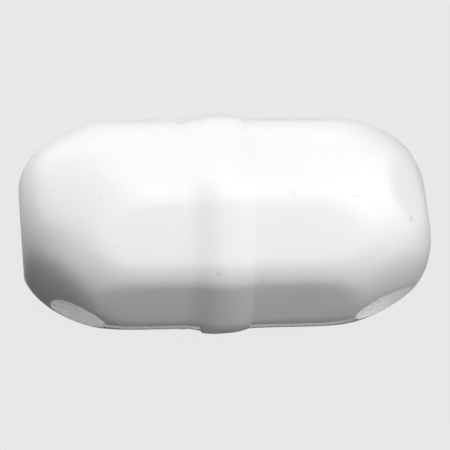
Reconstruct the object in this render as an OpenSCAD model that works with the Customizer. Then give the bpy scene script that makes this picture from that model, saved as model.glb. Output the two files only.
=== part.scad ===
// Magnetic stir bar: a plain rod magnet moulded into an eight-sided white jacket,
// whose ends have small flat faces where the moulding flash was pared off by hand.
// The bar lies along X. Its pivot ring touches the plane Z = 0 under the middle of the bar.

/* [Body] */
// Overall length of the bar, tip to tip
bar_length = 15.9; // [14:0.1:25]
// Width of the body across two opposite flats
across_flats = 8.0; // [6:0.1:9]
// Height of the softened long edges above the middle of a flat
edge_rise = 0.2; // [0.1:0.05:0.2]

/* [Ends] */
// Length over which each end rounds down to its tip
end_reach = 4.8; // [3:0.1:5]
// Diameter of the small flat face left at each tip
tip_diameter = 2.7; // [2:0.1:4]
// Depth of the deepest pared face
paring_depth = 0.22; // [0.05:0.01:0.3]

/* [Pivot ring] */
// Height of the ring's crown above a flat
ring_rise = 0.2; // [0.1:0.05:0.5]
// Length of the ring's steep side, from its crown down to the flats
ring_steep_side = 0.75; // [0.3:0.05:1]
// Length of the ring's long side, from its crown down to the flats
ring_long_side = 1.25; // [0.3:0.05:1.5]

/* [Magnet] */
// Thickness of the jacket between the magnet and a flat
side_wall = 1.6; // [1.2:0.1:2]
// Thickness of the jacket between the magnet and a tip
end_wall = 1.6; // [1.4:0.1:3]
// Chamfer on both rims of the magnet
magnet_chamfer = 0.3; // [0.1:0.1:0.6]

/* [Hidden] */

flat_pairs = 4; // pairs of opposite flats around the body
flats_half = across_flats / 2;
edge_radius = flats_half + edge_rise;
tip_radius = tip_diameter / 2;
straight_half = bar_length / 2 - end_reach; // from the middle to where an end begins
ring_crown = (ring_steep_side - ring_long_side) / 2; // the crown's place along X
magnet_radius = flats_half - side_wall;
magnet_half = bar_length / 2 - end_wall;

// The pared faces as [turn from the right end towards the front, rise above level, share of the depth]
pared_faces = [
    [178, -2, 0.6], // across the left tip
    [114, -19, 0.3], // under the left end
    [62, -17, 0.75], // under the right end
    [0, 30, 1], // above the right end
    [239, 37, 0.3] // above the left end, at the back
];
pared_block = 10; // larger than what any pared face removes

end_steps = 16; // straight steps along each rounded end
ring_steps = 6; // straight steps along each side of the ring
round_fn = 96;
past = 1; // how far the flats run on past the tips before the turned form trims them

function reversed(list) = [for (i = [len(list) - 1:-1:0]) list[i]];
function rest(list) = [for (i = [1:len(list) - 1]) list[i]];

// One side of the ring as [place along X, rise], level at the crown and steepest at the foot
function ring_side(side) = [
    for (i = [0:ring_steps])
        let (t = i / ring_steps)
        [ring_crown + side * t, ring_rise * (1 - t * t)]
];

// The ring's line from its left foot over the crown to its right foot
ring_line = concat(reversed(ring_side(-ring_steep_side)), rest(ring_side(ring_long_side)));

// The right end as [place along X, radius], a quarter ellipse from the long edges to the tip
end_line = [
    for (i = [0:end_steps])
        let (a = 90 * i / end_steps)
        [straight_half + end_reach * sin(a), tip_radius + (edge_radius - tip_radius) * cos(a)]
];

// Turns an outline of [place along X, radius] points about the bar's own axis
module turned(outline) {
    rotate([0, 90, 0]) rotate_extrude($fn = round_fn) polygon([for (p = outline) [p[1], p[0]]]);
}

// The round form that gives the ends their shape and softens the long edges, the ring's too
module turned_form() {
    turned(concat(
        [[-bar_length / 2, 0]],
        [for (p = reversed(end_line)) [-p[0], p[1]]],
        [for (p = ring_line) [p[0], edge_radius + p[1]]],
        end_line,
        [[bar_length / 2, 0]]
    ));
}

// A slab between two opposite flats, with the ring's line on both of them
module flat_pair() {
    side = concat([[-bar_length / 2 - past, 0]], ring_line, [[bar_length / 2 + past, 0]]);
    rotate([90, 0, 0]) linear_extrude(height = 4 * edge_radius, center = true) polygon(concat(
        [for (p = side) [p[0], flats_half + p[1]]],
        [for (p = reversed(side)) [p[0], -flats_half - p[1]]]
    ));
}

// The rod magnet's own form, which the jacket is moulded tightly around
module magnet_form() {
    turned([
        [-magnet_half, 0],
        [-magnet_half, magnet_radius - magnet_chamfer],
        [magnet_chamfer - magnet_half, magnet_radius],
        [magnet_half - magnet_chamfer, magnet_radius],
        [magnet_half, magnet_radius - magnet_chamfer],
        [magnet_half, 0]
    ]);
}

// Distance from the middle of an end's wide side to its surface, square to a face that looks
// this much along the bar
function end_depth(along) =
    let (across = sqrt(1 - along * along))
    tip_radius * across + norm([end_reach * along, (edge_radius - tip_radius) * across]);

// What one pared face takes off its end
module pared_off(face) {
    along = cos(face[0]) * cos(face[1]);
    translate([sign(along) * straight_half, 0, 0])
        rotate([0, -face[1], -face[0]])
            translate([end_depth(abs(along)) - face[2] * paring_depth, -pared_block / 2, -pared_block / 2])
                cube(pared_block);
}

// Lifts a piece so that the ring's lowest flat lies on Z = 0
module at_rest_height() {
    translate([0, 0, flats_half + ring_rise]) children();
}

module ptfe_jacket() {
    color([0.95, 0.95, 0.94]) at_rest_height() difference() {
        intersection() {
            turned_form();
            intersection_for(i = [0:flat_pairs - 1]) rotate([i * 180 / flat_pairs, 0, 0]) flat_pair();
        }
        for (face = pared_faces) pared_off(face);
        magnet_form();
    }
}

module bar_magnet() {
    color([0.42, 0.42, 0.44]) at_rest_height() magnet_form();
}

ptfe_jacket();
bar_magnet();
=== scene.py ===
import math
import bmesh
import bpy
from mathutils import Matrix, Vector, kdtree, noise


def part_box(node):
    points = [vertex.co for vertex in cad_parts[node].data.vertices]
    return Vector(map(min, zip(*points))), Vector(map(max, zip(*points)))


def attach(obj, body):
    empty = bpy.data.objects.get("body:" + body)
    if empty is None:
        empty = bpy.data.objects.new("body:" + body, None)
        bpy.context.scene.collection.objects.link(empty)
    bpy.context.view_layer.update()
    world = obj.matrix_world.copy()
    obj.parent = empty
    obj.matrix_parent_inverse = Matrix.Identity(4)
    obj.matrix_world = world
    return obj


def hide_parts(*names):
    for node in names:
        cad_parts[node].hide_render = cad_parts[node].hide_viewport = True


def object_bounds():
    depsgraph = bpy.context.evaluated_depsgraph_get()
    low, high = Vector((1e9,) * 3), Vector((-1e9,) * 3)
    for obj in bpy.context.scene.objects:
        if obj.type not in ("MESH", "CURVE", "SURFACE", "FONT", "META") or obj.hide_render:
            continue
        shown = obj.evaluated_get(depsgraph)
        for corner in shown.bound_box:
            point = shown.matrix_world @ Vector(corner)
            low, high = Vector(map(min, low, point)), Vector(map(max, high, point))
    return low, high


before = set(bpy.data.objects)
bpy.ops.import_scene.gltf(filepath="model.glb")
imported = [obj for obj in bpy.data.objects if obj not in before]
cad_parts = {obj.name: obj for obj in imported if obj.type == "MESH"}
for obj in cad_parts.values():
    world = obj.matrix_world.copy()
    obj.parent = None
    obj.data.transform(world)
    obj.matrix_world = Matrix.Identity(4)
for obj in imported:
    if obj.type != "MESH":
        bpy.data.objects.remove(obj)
cadLow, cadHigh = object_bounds()
mm = 0.001
axisHeight = (cadLow.z + cadHigh.z) / 2  # the bar's own axis runs along X at this height


def smoothStep(t):
    t = min(max(t, 0.0), 1.0)
    return t * t * (3 - 2 * t)


def softLower(a, b, softness):
    # the lower of two reaches, with the crease where they meet rounded off
    share = max(softness - abs(a - b), 0.0) / softness
    return min(a, b) - share * share * softness / 4


def facing(turn, rise):
    # turn goes from the right end towards the front, rise goes up from level, both in degrees
    level = math.cos(math.radians(rise))
    turn = math.radians(turn)
    return Vector((math.cos(turn) * level, -math.sin(turn) * level, math.sin(math.radians(rise))))


def newMaterial(name):
    material = bpy.data.materials.new(name)
    material.use_nodes = True
    nodes = material.node_tree.nodes
    nodes.clear()
    return material, nodes, material.node_tree.links


def noiseNode(nodes, links, place, scale):
    pattern = nodes.new("ShaderNodeTexNoise")
    pattern.inputs["Scale"].default_value = scale
    links.new(place, pattern.inputs["Vector"])
    return pattern


def rangeNode(nodes, links, value, ends):
    # runs from the first of the two ends to the second as the value goes from 0 to 1
    spread = nodes.new("ShaderNodeMapRange")
    spread.inputs["To Min"].default_value, spread.inputs["To Max"].default_value = ends
    links.new(value, spread.inputs["Value"])
    return spread


def bumpNode(nodes, links, pattern, height):
    bump = nodes.new("ShaderNodeBump")
    bump.inputs["Distance"].default_value = height
    links.new(pattern, bump.inputs["Height"])
    return bump


def seenNode(nodes, links):
    # 1 for what the camera sees, straight or in a gloss, and 0 for the light that reaches the bar
    path = nodes.new("ShaderNodeLightPath")
    seen = nodes.new("ShaderNodeMath")
    seen.operation = "MAXIMUM"
    links.new(path.outputs["Is Camera Ray"], seen.inputs[0])
    links.new(path.outputs["Is Glossy Ray"], seen.inputs[1])
    return seen


def grey(level):
    return (level, level, level, 1)


def linkToScene(name, bm):
    mesh = bpy.data.meshes.new(name)
    bm.to_mesh(mesh)
    bm.free()
    piece = bpy.data.objects.new(name, mesh)
    bpy.context.scene.collection.objects.link(piece)
    return piece


# The jacket starts as a turned blank. Eight flats are pressed on it, then the flash is pared off its
# ends, and small marks are set in its skin last.
jacket = {
    "sides": 8,
    "flatHalf": 4.005 * mm,          # from the axis to a flat
    "blankRadius": 4.223 * mm,       # the turned form that the flats are pressed on
    "edgeSoftness": 0.5 * mm,        # rounding between two flats
    "fadeSoftness": 0.12 * mm,       # rounding where a flat runs out on an end
    "leftReach": 4.72 * mm,          # length over which each end rounds down
    "rightReach": 4.94 * mm,
    "leftTip": 1.32 * mm,            # radius of the flat left at each tip
    "rightTip": 1.35 * mm,
    "tipRows": 12,
    "endRows": 90,
    "bodyRows": 38,                  # rows on each side of the ring
    "columns": 288,
}
pivotRing = {
    "rise": 0.195 * mm,              # crown above a flat
    "crown": -0.33 * mm,             # place of the crown along X
    "leftFoot": -1.6 * mm,
    "rightFoot": 0.86 * mm,
    "rampEase": 0.8,                 # the left ramp, from 0 for straight to 1 for an S
    "fallPower": 2.5,                # how late the right side falls
    "footRise": 0.025 * mm,          # what is left of the rise in the crease at the right foot
    "fade": 1.3 * mm,                # length over which that runs out
    "rows": 64,
    "rowsPast": 0.1 * mm,            # how far the ring's close rows run on past the right foot
}

# Each pared face looks towards its turn and rise, in degrees, and lies at its reach from the bar's
# middle. A torn one is rough below a height from the axis, and the tear comes in over its fade.
trims = {
    "leftTip": {"turn": 177.8, "rise": -1.8, "reach": 7.877 * mm, "softness": 0.05 * mm},
    "leftUnder": {
        "turn": 113.9, "rise": -19.1, "reach": 5.572 * mm, "softness": 0.03 * mm,
        "tornBelow": 0.0 * mm, "tornFade": 0.15 * mm,
    },
    "leftBrow": {"turn": 141.0, "rise": 64.0, "reach": 5.39 * mm, "softness": 0.4 * mm},
    "leftLower": {"turn": 125.6, "rise": 1.0, "reach": 6.47 * mm, "softness": 0.3 * mm},
    "rightLower": {"turn": 60.0, "rise": 2.0, "reach": 6.17 * mm, "softness": 0.4 * mm},
    "rightUnder": {
        "turn": 61.9, "rise": -16.6, "reach": 5.80 * mm, "softness": 0.12 * mm,
        "tornBelow": 0.0 * mm, "tornFade": 0.5 * mm,
    },
    "rightShoulder": {"turn": 0.0, "rise": 30.0, "reach": 7.67 * mm, "softness": 0.8 * mm},
    "rightUpper": {"turn": 10.0, "rise": 42.0, "reach": 6.9 * mm, "softness": 0.1 * mm},
    "leftUpper": {"turn": 239.0, "rise": 37.0, "reach": 5.83 * mm, "softness": 0.3 * mm},
}
flatsFrom = 0.3          # a point isn't touched by a flat that it faces less than this, as a cosine
trimsFrom = 0.05         # the same for a pared face
weldDistance = 0.0001 * mm


# Small marks on the jacket, in mm, with places counted from the middle of the bar's own axis.
# A rise and a spread are in degrees around the bar, and a rise is negative below level at the front.
nicks = {                            # place, radius, depth and how dark its colour is made, most at its middle
    "ringCrest": ((-0.557, -3.979, 1.801), 0.1, 0.015, 0.25),
    "ringFoot": ((1.164, -3.976, 1.325), 0.1, 0.01, 0.15),
    "leftShoulder": ((-4.926, -1.663, 3.57), 0.1, 0.008, 0.12),
    "upperEdge": ((2.296, -1.756, 3.796), 0.1, 0.006, 0.1),
    "rightShoulder": ((4.722, -1.802, 3.621), 0.12, 0.008, 0.12),
    "rightCrease": ((6.91, -1.9, 2.4), 0.14, 0.04, 0.25),
    "backLeft": ((-1.708, 1.9, 3.714), 0.13, 0.02, 0.25),
    "backRing": ((0.7, 1.848, 3.842), 0.1, 0.02, 0.2),
    "underLeft": ((-6.138, -3.606, 0.0), 0.12, 0.03, 0.3),
    "underLeftBack": ((-5.277, -3.931, -0.076), 0.1, 0.02, 0.25),
}
nickReach = 1.6                      # a nick runs out over this many of its radii
ridge = {                            # the thin lip left along the edge of a pared face
    "line": [
        (5.95, -1.67, 3.26), (6.27, -1.73, 3.06), (6.51, -1.87, 2.8),
        (6.72, -1.91, 2.6), (6.98, -1.92, 2.33),
    ],
    "width": 0.09,
    "height": 0.04,
    "search": 0.35,                  # how far round each point of the line the skin is looked through
}
burr = {                             # the squeezed foot at the ring's lower left
    "left": -1.06,
    "right": -0.1,
    "rise": -25,
    "spread": 9,
    "height": 0.09,
    "start": 0.12,                   # length over which it stands up at its left end
}
scrape = {                           # the lower front edge, scraped where the flash was cleaned off
    "left": -6.4,
    "right": 5.4,
    "rise": -22,
    "spread": 3.5,
    "cut": 0.8,
    "fade": 1.5,                     # length over which it runs out at both ends
}
flash = {                            # what is left of the moulding's thin flash, low on the front, coloured dark as painted shade
    "left": -4.2,
    "right": -1.0,
    "rise": -24.5,
    "spread": 1.8,
    "height": 0.05,
    "grain": 0.5,                    # length of its ragged pieces
    "level": 0.5,                    # how much of it is left, on average
    "contrast": 1.5,                 # how ragged it is
    # painted shade: how far the fin's colour is darkened, for the shade under it
    "dirtAndShade": 0.7,
}
torn = {                             # the rough skin that the paring leaves
    "grain": 0.2,
    "height": 0.02,
    "fineGrain": 0.09,
    "fineHeight": 0.015,
}
rubbed = {                           # the right end's torn skin gets smoother towards the tip
    "left": 5.7,
    "run": 1.1,
    "share": 0.6,
}
specks = {                           # crumbs of dirt caught in the torn skin
    "grain": 0.16,
    "from": 0.25,                    # the higher, the fewer
    "dirtAndShade": 0.5,
    "shift": (7, 3, 5),              # slides the pattern off the torn skin's own
}


def ringProfile(x):
    # the ring's height along X: a long ramp up to the crown, then a fall that ends in a crease
    crown, left, right = pivotRing["crown"], pivotRing["leftFoot"], pivotRing["rightFoot"]
    rise, foot = pivotRing["rise"], pivotRing["footRise"]
    if x <= left or x >= right + pivotRing["fade"]:
        return 0.0
    if x < crown:
        t = (x - left) / (crown - left)
        ease = pivotRing["rampEase"]
        return rise * (smoothStep(t) * ease + t * (1 - ease))
    if x < right:
        return rise - (rise - foot) * ((x - crown) / (right - crown)) ** pivotRing["fallPower"]
    return foot * (1 - (x - right) / pivotRing["fade"]) ** 2


def endProfile(side, halfLength, reach, tip):
    # one end of the blank as (place along X, radius), from the middle of its tip inwards
    rows = jacket["tipRows"]
    end = [(side * halfLength, tip * i / rows) for i in range(rows)]
    for i in range(jacket["endRows"] + 1):
        a = math.pi / 2 * (1 - i / jacket["endRows"])
        along = halfLength - reach + reach * math.sin(a)
        end.append((side * along, tip + (jacket["blankRadius"] - tip) * math.cos(a)))
    return end


def between(start, end, count):
    return [start + (end - start) * i / count for i in range(1, count)]


def blankProfile(halfLength):
    # (place along X, radius) of the turned blank from its left tip to its right tip
    leftEnd = endProfile(-1, halfLength, jacket["leftReach"], jacket["leftTip"])
    rightEnd = endProfile(1, halfLength, jacket["rightReach"], jacket["rightTip"])[::-1]
    ringLeft, ringRight = pivotRing["leftFoot"], pivotRing["rightFoot"] + pivotRing["rowsPast"]
    places = between(leftEnd[-1][0], ringLeft, jacket["bodyRows"])
    places += [ringLeft] + between(ringLeft, ringRight, pivotRing["rows"]) + [ringRight]
    places += between(ringRight, rightEnd[0][0], jacket["bodyRows"])
    crease = 1 / math.cos(math.pi / jacket["sides"])
    body = [(x, jacket["blankRadius"] + crease * ringProfile(x)) for x in places]
    return leftEnd + body + rightEnd


def pressed(point, leftHeart, rightHeart, flatFacings, trimFaces):
    # draws a point of the blank in towards the bar's heart until every flat and trim is respected
    heart = Vector((min(max(point.x, leftHeart), rightHeart), 0, 0))
    reach = (point - heart).length
    way = (point - heart) / reach
    flatReach = jacket["flatHalf"] + ringProfile(point.x)
    nearest = None
    for face in flatFacings:
        square = way.dot(face)
        if square > flatsFrom:
            limit = flatReach / square
            nearest = limit if nearest is None else softLower(nearest, limit, jacket["edgeSoftness"])
    if nearest is not None:
        reach = softLower(reach, nearest, jacket["fadeSoftness"])
    cut = 0.0
    for face, trim in trimFaces:
        square = way.dot(face)
        if square > trimsFrom:
            limit = (trim["reach"] - heart.dot(face)) / square
            if limit < reach and "tornBelow" in trim:
                below = trim["tornBelow"] - way.z * limit
                cut = min(max(below / trim["tornFade"], 0.0), 1.0)
            reach = softLower(reach, limit, trim["softness"])
    return heart + way * reach, cut


def nearLine(point, line):
    # distance from a point to a line of points
    best = None
    for start, end in zip(line, line[1:]):
        along = end - start
        t = min(max((point - start).dot(along) / along.length_squared, 0), 1)
        distance = (point - start - along * t).length
        best = distance if best is None else min(best, distance)
    return best


def pressNicks(bm, tree, moves, dirtAndShadeLayer):
    for place, radius, depth, dirtAndShade in nicks.values():
        reach = radius * nickReach
        for spot, i, distance in tree.find_range(place, reach):
            share = 1 - smoothStep(distance / reach)
            moves[i] = moves.get(i, 0) - depth * share
            bm.verts[i][dirtAndShadeLayer] = max(bm.verts[i][dirtAndShadeLayer], dirtAndShade * share)


def raiseRidge(tree, moves):
    line = [Vector(point) for point in ridge["line"]]
    for start in line:
        for spot, i, distance in tree.find_range(start, ridge["search"]):
            away = nearLine(spot, line)
            if away < ridge["width"]:
                height = ridge["height"] * (1 - smoothStep(away / ridge["width"]))
                moves[i] = max(moves.get(i, 0), height)


def onEdge(turn, mark):
    # 1 on the line that a mark runs along, 0 from its spread on
    return 1 - smoothStep(abs(turn - mark["rise"]) / mark["spread"])


def burrHeight(x, turn):
    if not burr["left"] < x < burr["right"]:
        return 0.0
    start = smoothStep((x - burr["left"]) / burr["start"])
    run = 1 - smoothStep((x - burr["left"]) / (burr["right"] - burr["left"]))
    return burr["height"] * start * run * onEdge(turn, burr)


def flashShare(x, turn):
    if not flash["left"] < x < flash["right"]:
        return 0.0
    ragged = flash["level"] + flash["contrast"] * noise.noise((x / flash["grain"], 0, 0))
    return min(max(ragged, 0.0), 1.0) * onEdge(turn, flash)


def scrapeShare(x, turn):
    if burr["left"] < x < pivotRing["rightFoot"] / mm:
        return 0.0
    end = min(x - scrape["left"], scrape["right"] - x)
    return smoothStep(end / scrape["fade"]) * onEdge(turn, scrape)


def tornRoughness(spot):
    coarse = noise.noise(spot / torn["grain"]) * torn["height"]
    fine = noise.noise(spot / torn["fineGrain"]) * torn["fineHeight"]
    return coarse + fine - torn["height"] / 2


def markJacket(bm, cutLayer, dirtAndShadeLayer):
    # moves the skin in and out along its normals, all in mm, with the axis still at height zero
    bm.normal_update()
    tree = kdtree.KDTree(len(bm.verts))
    for i, vert in enumerate(bm.verts):
        tree.insert(vert.co / mm, i)
    tree.balance()
    bm.verts.ensure_lookup_table()
    moves = {}
    pressNicks(bm, tree, moves, dirtAndShadeLayer)
    raiseRidge(tree, moves)
    for i, vert in enumerate(bm.verts):
        spot = vert.co / mm
        turn = math.degrees(math.atan2(spot.z, -spot.y))
        flashHere = flashShare(spot.x, turn)
        move = moves.get(i, 0) + burrHeight(spot.x, turn) + flash["height"] * flashHere
        # the flash fin is darkened as painted shade, on top of the nicks' darkening
        dirtAndShade = max(vert[dirtAndShadeLayer], flash["dirtAndShade"] * flashHere)
        cut = max(vert[cutLayer], scrape["cut"] * scrapeShare(spot.x, turn))
        cut *= 1 - rubbed["share"] * smoothStep((spot.x - rubbed["left"]) / rubbed["run"])
        if cut > 0:
            if noise.noise(spot / specks["grain"] + Vector(specks["shift"])) > specks["from"]:
                dirtAndShade = max(dirtAndShade, specks["dirtAndShade"] * cut)
            move += tornRoughness(spot) * cut
        vert[cutLayer], vert[dirtAndShadeLayer] = cut, dirtAndShade
        vert.co += vert.normal * move * mm


def buildJacket():
    low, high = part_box("ptfe_jacket")
    halfLength = (high.x - low.x) / 2
    bm = bmesh.new()
    profile = [bm.verts.new((x, 0, radius)) for x, radius in blankProfile(halfLength)]
    wire = [bm.edges.new(pair) for pair in zip(profile, profile[1:])]
    bmesh.ops.spin(
        bm, geom=profile + wire, cent=(0, 0, 0), axis=(1, 0, 0), angle=2 * math.pi,
        steps=jacket["columns"], use_merge=True, use_duplicate=False,
    )
    bmesh.ops.remove_doubles(bm, verts=bm.verts[:], dist=weldDistance)
    leftHeart = -halfLength + jacket["leftReach"]
    rightHeart = halfLength - jacket["rightReach"]
    turns = [2 * math.pi * i / jacket["sides"] for i in range(jacket["sides"])]
    flatFacings = [Vector((0, math.cos(a), math.sin(a))) for a in turns]
    trimFaces = [(facing(trim["turn"], trim["rise"]), trim) for trim in trims.values()]
    cutLayer = bm.verts.layers.float.new("cut")
    dirtAndShadeLayer = bm.verts.layers.float.new("dirtAndShade")
    for vert in bm.verts:
        vert.co, vert[cutLayer] = pressed(vert.co.copy(), leftHeart, rightHeart, flatFacings, trimFaces)
    bmesh.ops.recalc_face_normals(bm, faces=bm.faces[:])
    markJacket(bm, cutLayer, dirtAndShadeLayer)
    bmesh.ops.translate(bm, verts=bm.verts[:], vec=(0, 0, axisHeight))
    for face in bm.faces:
        face.smooth = True
    piece = linkToScene("jacket", bm)
    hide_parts("ptfe_jacket")
    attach(piece, "root")
    return piece


ptfe = {
    "color": (0.9, 0.9, 0.895, 1),
    # dark colour for real dirt in the specks and for painted shade on the flash fin
    "dirtAndShadeColor": (0.3, 0.28, 0.26, 1),
    "roughness": (0.56, 0.64),       # mottled between these
    "mottleScale": 900,
    "index": 1.45,
    "subsurface": 0.7,
    "depth": 1.2 * mm,               # how far light travels inside
    "depthByColor": (1, 1, 1),       # the same for red, green and blue
    "skinScale": 5000,               # the moulded skin's fine grain
    "skinHeight": 0.002 * mm,
    "tornScale": 9000,               # fibres on the torn faces
    "tornDetail": 4,
    "tornHeight": 0.03 * mm,
    "tornRoughness": 0.12,           # a blade leaves a face shinier than the mould does
    "specular": (0.5, 1.0),          # moulded skin, cut face
    "burnishRoughness": 0.2,         # the blade's rub, on the cut faces only
    "burnishIndex": 1.8,
    "tornSheen": 1.0,                # loose fibres on the torn faces catch light from behind
    "sheenRoughness": 0.4,
}


def makePtfe():
    material, nodes, links = newMaterial("ptfe")
    shader = nodes.new("ShaderNodeBsdfPrincipled")
    out = nodes.new("ShaderNodeOutputMaterial")
    place = nodes.new("ShaderNodeTexCoord")
    cut = nodes.new("ShaderNodeAttribute")
    cut.attribute_name = "cut"
    dirtAndShade = nodes.new("ShaderNodeAttribute")
    dirtAndShade.attribute_name = "dirtAndShade"
    links.new(shader.outputs[0], out.inputs["Surface"])
    # darkens the white: dirt specks, the nicks' darkening and painted shade along the flash
    tint = nodes.new("ShaderNodeMix")
    tint.data_type = "RGBA"
    tint.inputs["A"].default_value = ptfe["color"]
    tint.inputs["B"].default_value = ptfe["dirtAndShadeColor"]
    links.new(dirtAndShade.outputs["Fac"], tint.inputs["Factor"])
    links.new(tint.outputs["Result"], shader.inputs["Base Color"])
    mottle = noiseNode(nodes, links, place.outputs["Object"], ptfe["mottleScale"])
    finish = rangeNode(nodes, links, mottle.outputs["Fac"], ptfe["roughness"])
    gloss = nodes.new("ShaderNodeMix")
    gloss.inputs["B"].default_value = ptfe["tornRoughness"]
    links.new(cut.outputs["Fac"], gloss.inputs["Factor"])
    links.new(finish.outputs["Result"], gloss.inputs["A"])
    links.new(gloss.outputs["Result"], shader.inputs["Roughness"])
    glint = rangeNode(nodes, links, cut.outputs["Fac"], ptfe["specular"])
    links.new(glint.outputs["Result"], shader.inputs["Specular IOR Level"])
    skin = noiseNode(nodes, links, place.outputs["Object"], ptfe["skinScale"])
    skinBump = bumpNode(nodes, links, skin.outputs["Fac"], ptfe["skinHeight"])
    fibres = noiseNode(nodes, links, place.outputs["Object"], ptfe["tornScale"])
    fibres.inputs["Detail"].default_value = ptfe["tornDetail"]
    tornBump = bumpNode(nodes, links, fibres.outputs["Fac"], ptfe["tornHeight"])
    links.new(cut.outputs["Fac"], tornBump.inputs["Strength"])
    links.new(skinBump.outputs["Normal"], tornBump.inputs["Normal"])
    links.new(tornBump.outputs["Normal"], shader.inputs["Normal"])
    sheen = nodes.new("ShaderNodeMath")
    sheen.operation = "MULTIPLY"
    sheen.inputs[1].default_value = ptfe["tornSheen"]
    links.new(cut.outputs["Fac"], sheen.inputs[0])
    links.new(sheen.outputs[0], shader.inputs["Sheen Weight"])
    shader.inputs["Sheen Roughness"].default_value = ptfe["sheenRoughness"]
    links.new(cut.outputs["Fac"], shader.inputs["Coat Weight"])
    shader.inputs["Coat Roughness"].default_value = ptfe["burnishRoughness"]
    shader.inputs["Coat IOR"].default_value = ptfe["burnishIndex"]
    shader.inputs["IOR"].default_value = ptfe["index"]
    shader.inputs["Subsurface Weight"].default_value = ptfe["subsurface"]
    shader.inputs["Subsurface Radius"].default_value = ptfe["depthByColor"]
    shader.inputs["Subsurface Scale"].default_value = ptfe["depth"]
    return material


magnet = {
    "color": (0.32, 0.32, 0.34, 1),
    "metallic": 0.9,
    "roughness": (0.35, 0.6),        # ground, mottled between these
    "grainScale": 3000,
    "grainStretch": (0.08, 1, 1),    # the grinding runs along the rod
    "grainHeight": 0.004 * mm,
}


def makeMagnet():
    material, nodes, links = newMaterial("magnet")
    shader = nodes.new("ShaderNodeBsdfPrincipled")
    out = nodes.new("ShaderNodeOutputMaterial")
    links.new(shader.outputs[0], out.inputs["Surface"])
    shader.inputs["Base Color"].default_value = magnet["color"]
    shader.inputs["Metallic"].default_value = magnet["metallic"]
    place = nodes.new("ShaderNodeTexCoord")
    stretch = nodes.new("ShaderNodeMapping")
    stretch.inputs["Scale"].default_value = magnet["grainStretch"]
    links.new(place.outputs["Object"], stretch.inputs["Vector"])
    grain = noiseNode(nodes, links, stretch.outputs["Vector"], magnet["grainScale"])
    finish = rangeNode(nodes, links, grain.outputs["Fac"], magnet["roughness"])
    links.new(finish.outputs["Result"], shader.inputs["Roughness"])
    bump = bumpNode(nodes, links, grain.outputs["Fac"], magnet["grainHeight"])
    links.new(bump.outputs["Normal"], shader.inputs["Normal"])
    return material


studio = {
    "floorColor": 0.905,         # how the floor shows to the camera
    "floorBounce": 0.11,         # how much light it throws back
    "shadowShare": 0.12,         # how much of the shadow on it stays
    "backdrop": 0.806,           # what shows beyond the floor
    "floorHalf": 0.6,
}


def makeFloor():
    bm = bmesh.new()
    bmesh.ops.create_grid(bm, x_segments=1, y_segments=1, size=studio["floorHalf"])
    floor = linkToScene("floor", bm)
    material, nodes, links = newMaterial("floor")
    out = nodes.new("ShaderNodeOutputMaterial")
    glow = nodes.new("ShaderNodeEmission")
    glow.inputs["Color"].default_value = grey(studio["floorColor"])
    cover = nodes.new("ShaderNodeBsdfDiffuse")
    cover.inputs["Color"].default_value = grey(studio["floorBounce"])
    mix = nodes.new("ShaderNodeMixShader")
    scale = nodes.new("ShaderNodeMath")
    scale.operation = "MULTIPLY"
    scale.inputs[1].default_value = 1 - studio["shadowShare"]
    seen = seenNode(nodes, links)
    links.new(seen.outputs[0], scale.inputs[0])
    links.new(scale.outputs[0], mix.inputs[0])
    links.new(cover.outputs[0], mix.inputs[1])
    links.new(glow.outputs[0], mix.inputs[2])
    links.new(mix.outputs[0], out.inputs["Surface"])
    floor.data.materials.append(material)


def makeWorld():
    world = bpy.data.worlds.new("studio")
    bpy.context.scene.world = world
    world.use_nodes = True
    nodes, links = world.node_tree.nodes, world.node_tree.links
    background = nodes["Background"]
    background.inputs["Color"].default_value = grey(studio["backdrop"])
    seen = seenNode(nodes, links)
    links.new(seen.outputs[0], background.inputs["Strength"])


# Where each lamp stands, in degrees round from the front towards the right and degrees up, and its
# power in watts
lamps = {
    "overhead": (0, 89, 0.195),
    "right": (60, 50, 0.168),
    "front": (15, 50, 0.086),
    "backLeft": (220, 8, 0.2),
}
lampReach = 0.2          # from the bar to every lamp
lampSize = 0.05


def makeLights():
    centre = Vector((0, 0, axisHeight))
    for name, (turn, rise, power) in lamps.items():
        data = bpy.data.lights.new(name, "AREA")
        data.shape = "DISK"
        data.size = lampSize
        data.energy = power
        lamp = bpy.data.objects.new(name, data)
        bpy.context.scene.collection.objects.link(lamp)
        way = facing(90 - turn, rise)
        towardsBar = way.to_track_quat("Z", "Y").to_matrix().to_4x4()
        lamp.matrix_world = Matrix.Translation(centre + way * lampReach) @ towardsBar


cameraView = {
    "elevation": 50.53,          # degrees above the floor
    "turn": 4.67,                # the bar's left end comes nearer
    "roll": 0.9,
    "distance": 97.41 * mm,
    "right": 0.0557 * mm,        # how far the view is moved across and down
    "down": 0.0989 * mm,
    "lens": 200,
    "sensor": 36,
    "clip": (0.005, 5),
}


def makeCamera():
    data = bpy.data.cameras.new("camera")
    camera = bpy.data.objects.new("camera", data)
    bpy.context.scene.collection.objects.link(camera)
    data.lens = cameraView["lens"]
    data.sensor_width = cameraView["sensor"]
    data.clip_start, data.clip_end = cameraView["clip"]
    turn = (
        Matrix.Rotation(math.radians(90 - cameraView["elevation"]), 4, "X")
        @ Matrix.Rotation(math.radians(-cameraView["turn"]), 4, "Y")
        @ Matrix.Rotation(math.radians(-cameraView["roll"]), 4, "Z")
    )
    offset = Vector((cameraView["right"], -cameraView["down"], cameraView["distance"]))
    place = Vector((0, 0, axisHeight)) + turn.to_3x3() @ offset
    camera.matrix_world = Matrix.Translation(place) @ turn
    bpy.context.scene.camera = camera


jacketPiece = buildJacket()
jacketPiece.data.materials.append(makePtfe())
print("jacket:", len(jacketPiece.data.polygons), "faces")
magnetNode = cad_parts["bar_magnet"]
magnetNode.data.materials.clear()
magnetNode.data.materials.append(makeMagnet())
print("magnet:", len(magnetNode.data.polygons), "faces, on its own solid")
makeFloor()
makeWorld()
makeLights()
makeCamera()
bpy.context.scene.view_settings.view_transform = "Standard"
print("studio ready")
